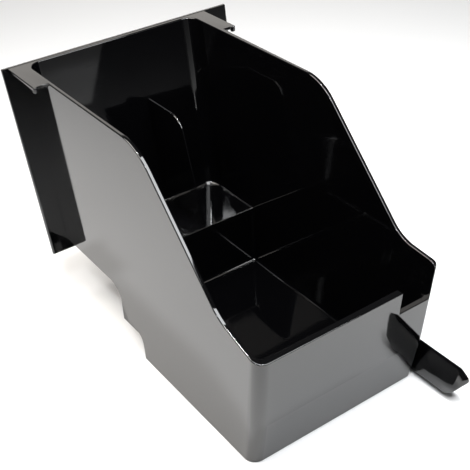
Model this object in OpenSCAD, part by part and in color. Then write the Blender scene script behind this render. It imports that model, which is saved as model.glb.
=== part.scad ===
// Food bin of an automatic pet feeder: drafted tub with a stepped floor, rear wing plate,
// upright divider and a hand lever that turns on the outside of the right wall.
// Origin: middle of the flat underside of the deep part. +X right, -Y front, +Z up. Millimetres.

/* [Bin] */
// width across the rim
bin_w = 120; // [90:1:160]
// height of the rear rim above the underside
bin_h = 157.5; // [120:0.5:200]
// distance from the top back edge of the wing plate to the origin
back_y = 141; // [120:1:180]
// wall thickness of the tub
wall = 2.4; // [1.2:0.1:3]
// sideways draft of each side wall per millimetre of height
side_draft = 0.0198; // [0:0.001:0.05]
// forward lean of the back wall per millimetre of height
back_lean = 0.148; // [0:0.005:0.3]
// depth from the back edge to the front face at the front rim
front_d = 228.8; // [180:0.5:260]
// slope of the front wall above the crease
front_up = 0.125; // [0:0.005:0.3]
// slope of the front wall below the crease
front_low = 0.21; // [0:0.005:0.4]
// height of the crease in the front wall
crease_z = 30.7; // [15:0.5:45]
// height of the front rim
front_h = 77.1; // [50:0.5:110]

/* [Rim] */
// depth where the left and right rims start to fall
fall_d = 134; // [100:1:160]
// depth of the lower bend of the left rim
left_bend_d = 196.2; // [170:0.5:210]
// height of the lower bend of the left rim
left_bend_z = 87.2; // [70:0.5:110]
// depth of the lower bend of the right rim
right_bend_d = 202.6; // [170:0.5:210]
// height of the lower bend of the right rim
right_bend_z = 88.4; // [70:0.5:110]
// height of the right rim at its front corner
right_end_z = 85.9; // [78:0.5:100]
// radius of the upper bend
upper_bend_r = 32; // [10:1:50]
// radius of the lower bend
lower_bend_r = 24; // [10:1:40]
// left edge of the notch in the front rim
notch_x = 35; // [10:1:50]
// height of the bottom of the notch
notch_z = 62.2; // [45:0.5:75]

/* [Floor] */
// top of the rear shelf
shelf_z = 43.3; // [25:0.5:60]
// depth of the step face inside the tub
step_d = 67.4; // [50:0.5:90]
// thickness of the rear shelf
shelf_t = 1.8; // [1.2:0.1:3]
// thickness of the floor
floor_t = 2.2; // [1.5:0.1:4]
// outer left face of the narrow rear part of the deep tub
pocket_x = 48; // [40:0.5:55]
// height of the middle ledge under the left wall
ledge_z = 18.8; // [10:0.5:30]

/* [Ears] */
// width of each ear outside the side wall
ear_w = 9.2; // [5:0.5:15]
// length of each ear from the back edge
ear_l = 36.7; // [20:0.5:50]
// thickness of the ears
ear_t = 1.9; // [1:0.1:3]

/* [Wing plate] */
// horizontal thickness of the plate
plate_t = 1.8; // [1.2:0.1:3]
// left edge at the top
plate_left = 72.6; // [65:0.5:90]
// right edge at the top
plate_right = 85.9; // [65:0.5:100]
// inward taper of both edges per millimetre of height
plate_taper = 0.026; // [0:0.002:0.05]
// height of the plate's lower edge
plate_low_z = 35.1; // [20:0.5:60]

/* [Divider] */
// middle plane of the divider
divider_x = 17.2; // [-40:0.5:40]
// thickness of the divider
divider_t = 1.6; // [1:0.1:3]
// top of the divider
divider_z = 114.5; // [80:0.5:140]
// depth of the front edge at the top corner
divider_top_d = 48.1; // [30:0.5:60]
// radius of the bend at the divider's top
divider_r = 14; // [5:0.5:25]

/* [Lever] */
// depth of the pivot axis
pivot_d = 150; // [130:1:170]
// height of the pivot axis
pivot_z = 14.2; // [10:0.1:20]
// inner face of the lever
lever_x = 58.3; // [58:0.1:60]
// thickness of the arm and hub
arm_t = 7; // [5:0.5:9]
// distance from the lever's inner face to the crest of the grip
grip_t = 5.3; // [3:0.1:6]
// height of the crest of the grip
grip_top = 22.6; // [16:0.2:26]
// height of the top of the arm
arm_top = 26.4; // [20:0.2:30]
// height of the bottom of the arm
arm_low = 2; // [1:0.2:5]
// radius of the moulded pivot boss
boss_r = 5; // [4:0.1:7]
// radial running clearance on the boss
run_gap = 0.05; // [0.01:0.01:0.1]
// wire thickness of the return spring
spring_wire = 0.45; // [0.3:0.05:1]
// active turns of the return spring
spring_turns = 6.5; // [4:0.5:10]
// outer radius of the return spring
spring_r = 3.9; // [3.5:0.1:4.2]

/* [Hidden] */
big = 400;
lean_a = atan(back_lean);
shelf_low = shelf_z - shelf_t;
spring_d = 185;
spring_x = 62.6;
spring_top = 52;
stop_d = 129;
stop_x = 61.5;
tail_top = 20.5;
plate_gap = 0.05;
crown_x = 57.9;
crown_top = 14;
crown_low = 1.4;
crown_nose = 7;
crown_right = 0.16;
black = [0.03, 0.03, 0.033];

function half_w(z) = bin_w / 2 - (bin_h - z) * side_draft;
function front_at(z) = z >= crease_z ? front_d + (z - front_h) * front_up
    : front_d + (crease_z - front_h) * front_up - (crease_z - z) * front_low;
function inner_front_at(z) = z >= crease_z ? front_at(crease_z) - 2.4 + (z - crease_z) * 0.086
    : front_at(z) - 2.4;
function back_at(z) = plate_t + plate_gap + (bin_h - z) * back_lean;
function inner_back_at(z) = back_at(z) + wall;
function unit(v) = v / norm(v);
function turn(a) = a > 180 ? a - 360 : a < -180 ? a + 360 : a;
// points of a rounded bend at b between a and c
function bend(a, b, c, r, n = 12) =
    let (u = unit(a - b), v = unit(c - b), h = acos(u * v) / 2,
         m = b + unit(u + v) * r / sin(h), s = b + u * r / tan(h) - m, e = b + v * r / tan(h) - m,
         a0 = atan2(s[1], s[0]), da = turn(atan2(e[1], e[0]) - a0))
    [for (i = [0:n]) m + r * [cos(a0 + da * i / n), sin(a0 + da * i / n)]];
function flip(p) = [for (q = p) [-q[0], q[1]]];

// extrudes a side profile of [depth, height] points from x0 to x1
module side(x0, x1, pts) {
    translate([x0, back_y, 0]) rotate([90, 0, 90]) linear_extrude(x1 - x0) polygon(flip(pts));
}

// box given by x, depth and height limits
module dbox(x0, x1, d0, d1, z0, z1) {
    translate([x0, back_y - d1, z0]) cube([x1 - x0, d1 - d0, z1 - z0]);
}

// cylinder along x
module xcyl(r, x0, x1, d, z, n = 64) {
    translate([x0, back_y - d, z]) rotate([0, 90, 0]) cylinder(r = r, h = x1 - x0, $fn = n);
}

// thin rounded slice of the tub's plan at height z
module slice(z, hw, d0, d1, r_fl, r_fr, r_b) {
    translate([0, back_y, z]) linear_extrude(0.02) union() {
        translate([-hw + r_b, -d0 - r_b]) circle(r_b, $fn = 40);
        translate([hw - r_b, -d0 - r_b]) circle(r_b, $fn = 40);
        translate([-hw + r_fl, -d1 + r_fl]) circle(r_fl, $fn = 40);
        translate([hw - r_fr, -d1 + r_fr]) circle(r_fr, $fn = 40);
    }
}

module outer_slice(z) { slice(z, half_w(z), back_at(z), front_at(z), 7, 3, 0.6); }
module inner_slice(z) { slice(z, half_w(z) - wall, inner_back_at(z), inner_front_at(z), 5, 2, 8); }

left_corner = [[0, bin_h], [fall_d, bin_h], [left_bend_d, left_bend_z], [front_d - 2, front_h]];
right_corner = [[0, bin_h], [fall_d, bin_h], [right_bend_d, right_bend_z], [front_d + 1.1, right_end_z]];

// everything above the rims
module above_rims() {
    side(-90, -45, concat([[-10, bin_h + 30], [-10, bin_h]],
        bend(left_corner[0], left_corner[1], left_corner[2], upper_bend_r),
        bend(left_corner[1], left_corner[2], left_corner[3], lower_bend_r),
        [left_corner[3], [260, front_h], [260, bin_h + 30]]));
    dbox(-46, notch_x, 205, 260, front_h, bin_h + 30);
    dbox(notch_x - 0.5, half_w(notch_z) - wall + 0.2,
         inner_front_at(notch_z) - 2.1, 260, notch_z, bin_h + 30);
    side(half_w(notch_z) - wall + 0.1, 90, concat([[-10, bin_h + 30], [-10, bin_h]],
        bend(right_corner[0], right_corner[1], right_corner[2], upper_bend_r),
        bend(right_corner[1], right_corner[2], right_corner[3], lower_bend_r),
        bend(right_corner[2], right_corner[3], [front_d, 60], 5, 6),
        [[front_d - 0.1, 70], [260, 70], [260, bin_h + 30]]));
}

// clearance pocket under the left wall: ledge profile grown by g
module left_pocket(x1, g) {
    side(-90, x1, concat([[40, -5], [40, shelf_low + g]],
        bend([40, shelf_low + g], [83 + g, shelf_low + g], [91.4 + g, ledge_z + g], 11 + g),
        [[91.4 + g, ledge_z + g]],
        bend([91.4 + g, ledge_z + g], [107.3 + g, ledge_z + g], [107.3 + g, -5], 8 + g),
        [[107.3 + g, -5]]));
}

module tub() {
    difference() {
        union() {
            hull() { outer_slice(0); outer_slice(crease_z); }
            hull() { outer_slice(crease_z); outer_slice(bin_h - 0.02); }
        }
        difference() {
            union() {
                hull() { inner_slice(floor_t); inner_slice(crease_z); }
                hull() { inner_slice(crease_z); inner_slice(bin_h + 1); }
            }
            dbox(-big, big, -5, step_d, -5, shelf_z);
            left_pocket(-pocket_x + shelf_t, shelf_t);
        }
        dbox(-big, big, -5, step_d - wall, -5, shelf_low);
        left_pocket(-pocket_x, 0);
        above_rims();
    }
}

// flat ear with a down-turned nub at its front corner, s = -1 left, 1 right
module ear(s) {
    x0 = half_w(bin_h) - 1.2;
    x1 = bin_w / 2 + ear_w;
    side(min(s * x0, s * x1), max(s * x0, s * x1), [[back_at(bin_h), bin_h], [ear_l, bin_h],
        [ear_l, bin_h - ear_t], [back_at(bin_h - ear_t), bin_h - ear_t]]);
    translate([s * (x1 - 1.5), back_y - ear_l + 0.3, bin_h - 3.6]) cylinder(r = 1.5, h = 3.6, $fn = 32);
}

// places children on the wing plate's back face, local +Z pointing into the bin
module on_plate(x, z) {
    translate([x, back_y - (bin_h - z) * back_lean, z]) rotate([90 - lean_a, 0, 0]) children();
}

screw_spots = [[-57.4, 150], [57.4, 150], [-35, 38.3], [35, 38.3]];

module bin() color(black) {
    difference() {
        union() {
            tub();
            ear(-1);
            ear(1);
            // pivot pad and hollow boss
            xcyl(9, 56.2, 57.7, pivot_d, pivot_z);
            xcyl(boss_r, 56.2, 65.5, pivot_d, pivot_z);
            // spring seat with a peg and two gussets
            dbox(57.2, 67.5, spring_d - 7, spring_d + 7, spring_top, spring_top + 3);
            translate([spring_x, back_y - spring_d, spring_top - 3]) cylinder(r = 2.2, h = 3.5, $fn = 40);
            for (d = [spring_d - 7, spring_d + 5])
                translate([0, back_y - d, 0]) rotate([90, 0, 0]) linear_extrude(2)
                    polygon([[57.3, spring_top + 2.5], [67.2, spring_top + 2.5], [57.9, spring_top + 13]]);
            // stop seat
            dbox(56.6, 66.5, stop_d - 6, stop_d + 6, 25, 28);
            for (d = [stop_d - 6, stop_d + 4])
                translate([0, back_y - d, 0]) rotate([90, 0, 0]) linear_extrude(2)
                    polygon([[56.8, 27.5], [66.2, 27.5], [57.2, 37]]);
            // screw bosses under the shelf
            for (i = [2, 3]) on_plate(screw_spots[i][0], screw_spots[i][1])
                translate([0, 0, (plate_t + plate_gap) * cos(lean_a)]) cylinder(r = 3, h = 11, $fn = 40);
        }
        xcyl(1.5, 57.4, 66, pivot_d, pivot_z, 32);
        translate([stop_x, back_y - stop_d, 20]) cylinder(r = 1.6, h = 10, $fn = 32);
        for (p = screw_spots) on_plate(p[0], p[1]) cylinder(r = 1.25, h = 6.4, $fn = 32);
        // divider slots
        for (d = [28, 52])
            dbox(divider_x - divider_t / 2 - 0.1, divider_x + divider_t / 2 + 0.1, d - 0.1, d + 8.1, 30, 50);
        dbox(divider_x - divider_t / 2 - 0.1, divider_x + divider_t / 2 + 0.1, 0,
             inner_back_at(98) + 1.5, 87.9, 98.1);
    }
}

module wing_plate() color(black) {
    difference() {
        intersection() {
            translate([0, back_y, bin_h]) rotate([-lean_a, 0, 0])
                translate([0, 0, -big / 2]) rotate([90, 0, 0])
                linear_extrude(plate_t * cos(lean_a)) polygon([
                    [-plate_left + plate_taper * big / 2, 0], [plate_right - plate_taper * big / 2, 0],
                    [plate_right + plate_taper * 20, big / 2 + 20],
                    [-plate_left - plate_taper * 20, big / 2 + 20]]);
            dbox(-200, 200, -20, 60, plate_low_z, bin_h);
        }
        for (p = screw_spots) on_plate(p[0], p[1]) {
            translate([0, 0, -5]) cylinder(r = 1.4, h = 12, $fn = 32);
            translate([0, 0, -0.1]) cylinder(r1 = 2.6, r2 = 1.3, h = 1.3, $fn = 40);
        }
    }
}

module plate_screws() color([0.55, 0.55, 0.57]) {
    for (p = screw_spots) on_plate(p[0], p[1]) difference() {
        union() {
            translate([0, 0, 0.05]) cylinder(r1 = 2.35, r2 = 1.2, h = 1.15, $fn = 40);
            translate([0, 0, 0.6]) cylinder(r = 1.2, h = 5.4, $fn = 32);
        }
        for (a = [0, 90]) rotate([0, 0, a]) translate([-1.2, -0.28, -1]) cube([2.4, 0.56, 1.7]);
    }
}

module divider() color(black) {
    x0 = divider_x - divider_t / 2;
    x1 = divider_x + divider_t / 2;
    low = shelf_z + 0.05;
    side(x0, x1, concat([[inner_back_at(low) + 0.1, low], [inner_back_at(divider_z) + 0.1, divider_z]],
        bend([20, divider_z], [divider_top_d, divider_z], [step_d - 0.2, low], divider_r),
        [[step_d - 0.2, low]]));
    for (d = [28, 52]) dbox(x0, x1, d, d + 8, shelf_low + 0.1, low + 0.5);
    side(x0, x1, [[inner_back_at(88) - wall + 0.1, 88], [inner_back_at(98) - wall + 0.1, 98],
                  [inner_back_at(98) + 1, 98], [inner_back_at(88) + 1, 88]]);
}

// thin slice of the grip's side outline at x, u from 0 at the crest to 1 at the left face
module grip_slice(x, u) {
    top = grip_top - crown_top * u;
    low = arm_low + crown_low * u;
    r = 1 - 0.86 * u;
    brow = [247.5 - 1.5 * u, top];
    tip = [254.6 - crown_nose * u, grip_top - 4.6 - 9.8 * u];
    chin = [242.3 - 0.8 * u, low];
    side(x, x + 0.05, concat([[208, low], [208, top]],
        bend([208, top], brow, tip, 3 * r, 5), bend(brow, tip, chin, 3 * r, 6),
        bend(tip, chin, [208, low], 4 * r, 5)));
}

module lever() color(black) {
    x0 = lever_x;
    x1 = lever_x + arm_t;
    difference() {
        union() {
            // crowned grip: upright low on its left face, then leaning in to the crest
            hull() {
                for (i = [0:8]) grip_slice(crown_x + (x0 + grip_t - crown_x) * i / 8, pow(1 - i / 8, 1.3));
                grip_slice(x1 - 0.05, crown_right);
            }
            // arm and hub
            side(x0, x1, [[pivot_d, arm_low], [pivot_d, arm_top], [208, arm_top], [214, 21], [214, 6],
                          [208, arm_low]]);
            xcyl((arm_top - arm_low) / 2, x0, x1, pivot_d, (arm_top + arm_low) / 2);
            // latch tail with a tooth
            side(x0, x0 + 6, [[146, 9], [146, tail_top], [119, tail_top], [117, 18.5], [117, 14], [124, 12],
                              [124, 10], [128, 9]]);
            // spring peg
            translate([spring_x, back_y - spring_d, arm_top - 1]) cylinder(r = 2.2, h = 4.5, $fn = 40);
        }
        xcyl(6.5, 50, 80, pivot_d, pivot_z);
        // outer lightening pockets
        for (d = [[166, 178], [192, 206]])
            dbox(x1 - 3.5, x1 + 1, d[0], d[1], arm_low + 3, arm_top - 3);
    }
}

module ring(ri, ro, x0, x1) {
    translate([x0, back_y - pivot_d, pivot_z]) rotate([0, 90, 0]) difference() {
        cylinder(r = ro, h = x1 - x0, $fn = 64);
        translate([0, 0, -1]) cylinder(r = ri, h = x1 - x0 + 2, $fn = 64);
    }
}

module lever_bush() color([0.82, 0.8, 0.72]) { ring(boss_r + run_gap, 6.48, lever_x, lever_x + arm_t); }
module thrust_washer() color([0.75, 0.75, 0.75]) { ring(boss_r + 0.1, 9, 57.72, lever_x - 0.05); }
module cap_washer() color([0.7, 0.7, 0.72]) { ring(1.6, 8.5, 65.5, 66.4); }

module pivot_screw() color([0.55, 0.55, 0.57]) {
    difference() {
        union() {
            xcyl(1.45, 57.6, 66.6, pivot_d, pivot_z, 32);
            xcyl(2.9, 66.4, 67.6, pivot_d, pivot_z, 40);
            translate([67.6, back_y - pivot_d, pivot_z]) rotate([0, 90, 0])
                cylinder(r1 = 2.9, r2 = 2.1, h = 0.9, $fn = 40);
        }
        for (a = [0, 90]) translate([67.4, back_y - pivot_d, pivot_z]) rotate([a, 0, 0])
            translate([0, -1.6, -0.35]) cube([3, 3.2, 0.7]);
    }
}

module return_spring() color([0.6, 0.6, 0.62]) {
    len = spring_top - arm_top - 0.2;
    half = 180 * spring_wire * spring_turns / len;  // half the wire's height, as an angle of the coil
    translate([spring_x, back_y - spring_d, arm_top + 0.1])
        linear_extrude(len, twist = -360 * spring_turns, slices = 156, convexity = 10)
            polygon(concat([for (i = [-2:2]) spring_r * [cos(i * half / 2), sin(i * half / 2)]],
                           [for (i = [-2:2])
                               (spring_r - spring_wire) * [cos(i * half / 2), -sin(i * half / 2)]]));
}

module rest_stop() color([0.08, 0.08, 0.08]) {
    translate([stop_x, back_y - stop_d, 0]) {
        translate([0, 0, tail_top + 0.1]) cylinder(r = 3.2, h = 25 - tail_top - 0.15, $fn = 40);
        translate([0, 0, 24.5]) cylinder(r = 1.5, h = 4, $fn = 32);
        translate([0, 0, 28.05]) cylinder(r1 = 2.1, r2 = 1.5, h = 1, $fn = 32);
    }
}

bin();
wing_plate();
plate_screws();
divider();
lever();
lever_bush();
thrust_washer();
cap_washer();
pivot_screw();
return_spring();
rest_stop();
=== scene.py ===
import bpy, bmesh, math
from mathutils import Matrix, Vector
from mathutils.bvhtree import BVHTree


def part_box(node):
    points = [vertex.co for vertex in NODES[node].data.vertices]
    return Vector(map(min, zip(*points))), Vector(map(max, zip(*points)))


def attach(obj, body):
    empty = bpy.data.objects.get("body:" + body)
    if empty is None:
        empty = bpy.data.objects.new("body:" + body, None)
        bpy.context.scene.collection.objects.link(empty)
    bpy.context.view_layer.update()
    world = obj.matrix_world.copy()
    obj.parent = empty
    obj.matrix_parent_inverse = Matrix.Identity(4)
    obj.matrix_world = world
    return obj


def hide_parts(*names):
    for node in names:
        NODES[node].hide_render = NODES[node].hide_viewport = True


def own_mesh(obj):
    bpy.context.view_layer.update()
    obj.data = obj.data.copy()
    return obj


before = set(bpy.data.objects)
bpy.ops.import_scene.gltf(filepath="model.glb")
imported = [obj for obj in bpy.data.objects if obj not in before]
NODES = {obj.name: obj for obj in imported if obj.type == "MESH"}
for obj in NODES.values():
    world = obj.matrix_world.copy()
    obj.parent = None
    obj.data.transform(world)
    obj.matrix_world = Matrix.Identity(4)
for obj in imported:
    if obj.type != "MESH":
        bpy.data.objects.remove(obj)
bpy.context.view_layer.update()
MM = 0.001
TUB = 57.4  # only corners nearer the middle than this, in millimetres, get the wide inner radius
WIRE = 0.225 * MM  # radius of the spring's wire
LENS, SENSOR = 71.95, 36
CAMERA_AT = (-0.24607, -0.36083, 0.37356)
CAMERA_TURN = (2.061, -0.6874, 0.2988)  # axis times angle, in radians
AIM = (0, 0.03, 0.06)  # every lamp points here
WARM, COOL, WHITE = (1, 0.955, 0.90), (0.96, 0.98, 1), (1, 1, 1)
# two low overhead softboxes, a high fill, a panel behind for the ears, a strip in front for the
# back wall, and two small lamps for edges and fillets: name, place, size, watts, tint
LAMPS = (
    ("top_left", (-0.20, 0.10, 0.46), (0.34, 0.34), 3.2, WARM),
    ("top_front", (0.06, -0.20, 0.46), (0.30, 0.30), 3.2, COOL),
    ("fill", (0.0, 0.6, 3.0), (2.0, 2.0), 14, WHITE),
    ("back", (0.38, 0.98, 0.56), (0.9, 0.4), 1.5, WARM),
    ("strip", (0.50, -0.95, 0.24), (0.25, 0.30), 0.4, COOL),
    ("lamp_a", (-0.385, -0.40, 0.85), (0.06, 0.06), 2.5, COOL),
    ("lamp_b", (0.06, 0.02, 0.95), (0.06, 0.06), 4.0, COOL),
)


# ---------------------------------------------------------------- materials
def material(name):
    m = bpy.data.materials.new(name)
    m.use_nodes = True
    t = m.node_tree
    return m, t, t.nodes["Principled BSDF"]


def node(t, kind, **inputs):
    n = t.nodes.new(kind)
    for k, v in inputs.items():
        n.inputs[k.replace("_", " ")].default_value = v
    return n


def ramp(t, src, a, b, va, vb):
    r = t.nodes.new("ShaderNodeMapRange")
    for k, v in zip(("From Min", "From Max", "To Min", "To Max"), (a, b, va, vb)):
        r.inputs[k].default_value = v
    t.links.new(src, r.inputs["Value"])
    return r.outputs["Result"]


def coords(t, scale=(1, 1, 1), turn=(0, 0, 0)):
    c = t.nodes.new("ShaderNodeTexCoord")
    m = t.nodes.new("ShaderNodeMapping")
    m.inputs["Scale"].default_value = scale
    m.inputs["Rotation"].default_value = turn
    t.links.new(c.outputs["Object"], m.inputs["Vector"])
    return m.outputs["Vector"]


def noise(t, vec, scale, detail=4, rough=0.55):
    n = node(t, "ShaderNodeTexNoise", Scale=scale, Detail=detail, Roughness=rough)
    t.links.new(vec, n.inputs["Vector"])
    return n.outputs["Fac"]


def gloss_black():
    """Polished black moulding: faint flow waviness, hairline scratches and a little dust."""
    m, t, p = material("gloss_black")
    p.inputs["IOR"].default_value = 1.58
    flow = noise(t, coords(t), 22, 2)
    fine = noise(t, coords(t, (60, 900, 900), (0.3, 0.2, 0.5)), 1.4, 3, 0.6)
    dust = noise(t, coords(t), 2600, 2, 0.7)
    specks = ramp(t, dust, 0.74, 0.80, 0, 1)
    mix = t.nodes.new("ShaderNodeMix")
    mix.data_type = "RGBA"
    mix.inputs["A"].default_value = (0.0009, 0.0009, 0.0011, 1)
    mix.inputs["B"].default_value = (0.05, 0.05, 0.052, 1)
    t.links.new(specks, mix.inputs["Factor"])
    t.links.new(mix.outputs["Result"], p.inputs["Base Color"])
    base = ramp(t, flow, 0.3, 0.7, 0.03, 0.06)
    hair = ramp(t, fine, 0.62, 0.72, 0, 0.10)
    add = t.nodes.new("ShaderNodeMath")
    t.links.new(base, add.inputs[0])
    t.links.new(hair, add.inputs[1])
    t.links.new(add.outputs[0], p.inputs["Roughness"])
    b1 = node(t, "ShaderNodeBump", Strength=0.05, Distance=0.0006)
    t.links.new(flow, b1.inputs["Height"])
    b2 = node(t, "ShaderNodeBump", Strength=0.03, Distance=0.00005)
    t.links.new(fine, b2.inputs["Height"])
    t.links.new(b1.outputs["Normal"], b2.inputs["Normal"])
    t.links.new(b2.outputs["Normal"], p.inputs["Normal"])
    return m


def grained(name, lo, hi, metal, r0, r1, scale, stretch=(1, 1, 1), bump=0.1):
    m, t, p = material(name)
    p.inputs["Metallic"].default_value = metal
    g = noise(t, coords(t, stretch), scale, 5, 0.6)
    mix = t.nodes.new("ShaderNodeMix")
    mix.data_type = "RGBA"
    mix.inputs["A"].default_value = (*lo, 1)
    mix.inputs["B"].default_value = (*hi, 1)
    t.links.new(ramp(t, g, 0.3, 0.7, 0, 1), mix.inputs["Factor"])
    t.links.new(mix.outputs["Result"], p.inputs["Base Color"])
    t.links.new(ramp(t, g, 0.3, 0.7, r0, r1), p.inputs["Roughness"])
    b = node(t, "ShaderNodeBump", Strength=bump, Distance=0.00005)
    t.links.new(g, b.inputs["Height"])
    t.links.new(b.outputs["Normal"], p.inputs["Normal"])
    return m


MAT = {
    "gloss_black": gloss_black(),
    "steel": grained("steel", (0.50, 0.50, 0.51), (0.66, 0.66, 0.67), 1, 0.22, 0.38, 900, (1, 1, 6)),
    "acetal": grained("acetal", (0.72, 0.70, 0.62), (0.80, 0.78, 0.71), 0, 0.38, 0.5, 700),
    "rubber": grained("rubber", (0.012, 0.012, 0.012), (0.03, 0.03, 0.03), 0, 0.7, 0.85, 1400, bump=0.4),
}


# ---------------------------------------------------------------- moulded pieces
def softened(name, body, slot, outer, inner, flat=28):
    """The CAD shape of a node with rounded edges: outer radius on ridges, inner radius in corners.

    Each edge's radius is kept under what the faces beside it have room for.
    """
    me = NODES[name].data.copy()
    bm = bmesh.new()
    bm.from_mesh(me)
    bmesh.ops.remove_doubles(bm, verts=bm.verts, dist=4e-5)
    bmesh.ops.dissolve_degenerate(bm, edges=bm.edges, dist=4e-5)
    bmesh.ops.dissolve_limit(bm, angle_limit=math.radians(0.5), verts=bm.verts, edges=bm.edges)
    bmesh.ops.recalc_face_normals(bm, faces=bm.faces)
    w = bm.edges.layers.float.get("bevel_weight_edge") or bm.edges.layers.float.new("bevel_weight_edge")
    want = {}
    for e in bm.edges:
        if len(e.link_faces) != 2:
            continue
        turn = math.degrees(e.calc_face_angle(0))
        wide = min(f.calc_area() for f in e.link_faces) > 4e-4
        if turn > flat:
            mid = (e.verts[0].co + e.verts[1].co) / 2
            short = 1.5 < e.calc_length() / MM < 5
            small = short or abs(mid.x) > TUB * MM  # short edges, and those outside the tub
            want[e] = outer if e.is_convex else min(inner, 0.35) if small else inner
        elif turn > 2 and wide:  # a shallow crease between two broad walls
            want[e] = 0.25
    big = max(outer, inner)
    for e, r in want.items():
        for v in e.verts:
            d = (e.other_vert(v).co - v.co).normalized()
            for o in v.link_edges:
                k = o.other_vert(v).co - v.co
                if o is not e and abs(d.dot(k.normalized())) < 0.85:  # leaves the edge sideways
                    r = min(r, 0.42 * k.length / MM)
        if r < 0.12:  # no room for a radius, as round a countersunk hole
            e.smooth = False
        else:
            e[w] = r / big
    for f in bm.faces:
        f.smooth = True
    surface = BVHTree.FromBMesh(bm)
    bm.to_mesh(me)
    bm.free()
    o = bpy.data.objects.new(name + "_skin", me)
    bpy.context.scene.collection.objects.link(o)
    b = o.modifiers.new("round", "BEVEL")
    b.limit_method, b.width, b.segments = "WEIGHT", big * MM, 4
    b.use_clamp_overlap, b.harden_normals = False, True
    b.miter_outer = "MITER_ARC"
    n = o.modifiers.new("normals", "WEIGHTED_NORMAL")
    n.mode, n.weight, n.keep_sharp = "FACE_AREA", 50, True
    bpy.context.view_layer.update()
    done = bpy.data.meshes.new_from_object(o.evaluated_get(bpy.context.evaluated_depsgraph_get()))
    o.modifiers.clear()
    # a vertex that strays from the CAD surface goes back onto it: the wide radius is only inside the tub
    for v in done.vertices:
        near, facing, _, gap = surface.find_nearest(v.co)
        if abs(v.co.x) < TUB * MM:
            room = max(0.45 * big, 0.3)
        else:
            room = 0.15 if (v.co - near).dot(facing) > 0 else max(0.75 * outer, 0.3)
        if gap > room * MM:
            v.co = near
    o.data = done
    done.materials.clear()
    done.materials.append(MAT[slot])
    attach(o, body)
    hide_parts(name)
    return o


softened("bin", "bin_body", "gloss_black", 0.6, 2.4)
softened("wing_plate", "bin_body", "gloss_black", 0.35, 0.3)
softened("divider", "bin_body", "gloss_black", 0.67, 0.3)
softened("lever", "lever_body", "gloss_black", 0.45, 0.5)


# ---------------------------------------------------------------- return spring
def spring():
    """The return spring as round wire, with a flat end turn above and below."""
    lo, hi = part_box("return_spring")
    r = (hi.x - lo.x) / 2 - WIRE
    cx, cy = (lo.x + hi.x) / 2, (lo.y + hi.y) / 2
    turns, steps, sides = 8.5, 40, 12
    n = int(turns * steps)
    z0, z1 = lo.z + WIRE, hi.z - WIRE
    bm = bmesh.new()
    rings = []
    for i in range(n + 1):
        k = i / steps
        # the end turns lie flat, as on a closed spring
        u = min(max((k - 1) / (turns - 2), 0), 1)
        dead = 2 * WIRE * (min(k, 1) + max(k - (turns - 1), 0))
        z = z0 + dead + u * (z1 - z0 - 4 * WIRE)
        a = 2 * math.pi * k
        c = Vector((cx + r * math.cos(a), cy + r * math.sin(a), z))
        out = Vector((math.cos(a), math.sin(a), 0))
        rings.append([bm.verts.new(c + WIRE * (math.cos(b) * out + math.sin(b) * Vector((0, 0, 1))))
                      for b in [2 * math.pi * j / sides for j in range(sides)]])
    for p, q in zip(rings, rings[1:]):
        for j in range(sides):
            bm.faces.new((p[j], p[(j + 1) % sides], q[(j + 1) % sides], q[j]))
    bm.faces.new(list(reversed(rings[0])))
    bm.faces.new(rings[-1])
    bmesh.ops.recalc_face_normals(bm, faces=bm.faces)
    me = bpy.data.meshes.new("return_spring_wire")
    bm.to_mesh(me)
    bm.free()
    for f in me.polygons:
        f.use_smooth = True
    me.materials.append(MAT["steel"])
    o = bpy.data.objects.new("return_spring_wire", me)
    bpy.context.scene.collection.objects.link(o)
    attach(o, "bin_body")
    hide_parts("return_spring")
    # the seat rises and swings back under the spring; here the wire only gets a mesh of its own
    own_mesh(o)


spring()

# small hardware keeps its CAD shape and takes a better finish
for n, s in (("plate_screws", "steel"), ("cap_washer", "steel"), ("pivot_screw", "steel"),
             ("lever_bush", "acetal"), ("thrust_washer", "acetal"), ("rest_stop", "rubber")):
    me = NODES[n].data
    me.materials.clear()
    me.materials.append(MAT[s])


# ---------------------------------------------------------------- camera, floor and light
def camera():
    """Looks down into the bin from the front left."""
    data = bpy.data.cameras.new("camera")
    data.sensor_width, data.lens = SENSOR, LENS
    data.clip_start, data.clip_end = 0.01, 50
    cam = bpy.data.objects.new("camera", data)
    bpy.context.scene.collection.objects.link(cam)
    turn = Vector(CAMERA_TURN)
    r = Matrix.Rotation(turn.length, 3, turn.normalized())
    cols = Matrix((r[0], -r[1], -r[2])).transposed()
    cam.matrix_world = Matrix.Translation(CAMERA_AT) @ cols.to_4x4()
    bpy.context.scene.camera = cam


camera()


def studio():
    """Plain pale floor, dim surroundings and the lamps."""
    bm = bmesh.new()
    bmesh.ops.create_grid(bm, x_segments=1, y_segments=1, size=6)
    me = bpy.data.meshes.new("floor")
    bm.to_mesh(me)
    bm.free()
    o = bpy.data.objects.new("floor", me)
    bpy.context.scene.collection.objects.link(o)
    m, t, p = material("floor")
    p.inputs["Base Color"].default_value = (0.86, 0.86, 0.86, 1)
    p.inputs["Roughness"].default_value = 0.9
    me.materials.append(m)
    w = bpy.data.worlds.new("studio")
    bpy.context.scene.world = w
    w.use_nodes = True
    w.node_tree.nodes["Background"].inputs["Color"].default_value = (1, 1, 1, 1)
    w.node_tree.nodes["Background"].inputs["Strength"].default_value = 0.07
    bpy.context.scene.view_settings.view_transform = "Standard"
    for name, spot, size, watts, tint in LAMPS:
        d = bpy.data.lights.new(name, "AREA")
        d.shape, d.size, d.size_y, d.energy = "RECTANGLE", size[0], size[1], watts
        d.color = tint
        l = bpy.data.objects.new(name, d)
        bpy.context.scene.collection.objects.link(l)
        l.location, l.visible_camera = spot, False
        l.rotation_euler = (Vector(AIM) - Vector(spot)).to_track_quat("-Z", "Y").to_euler()


studio()

bpy.context.view_layer.update()
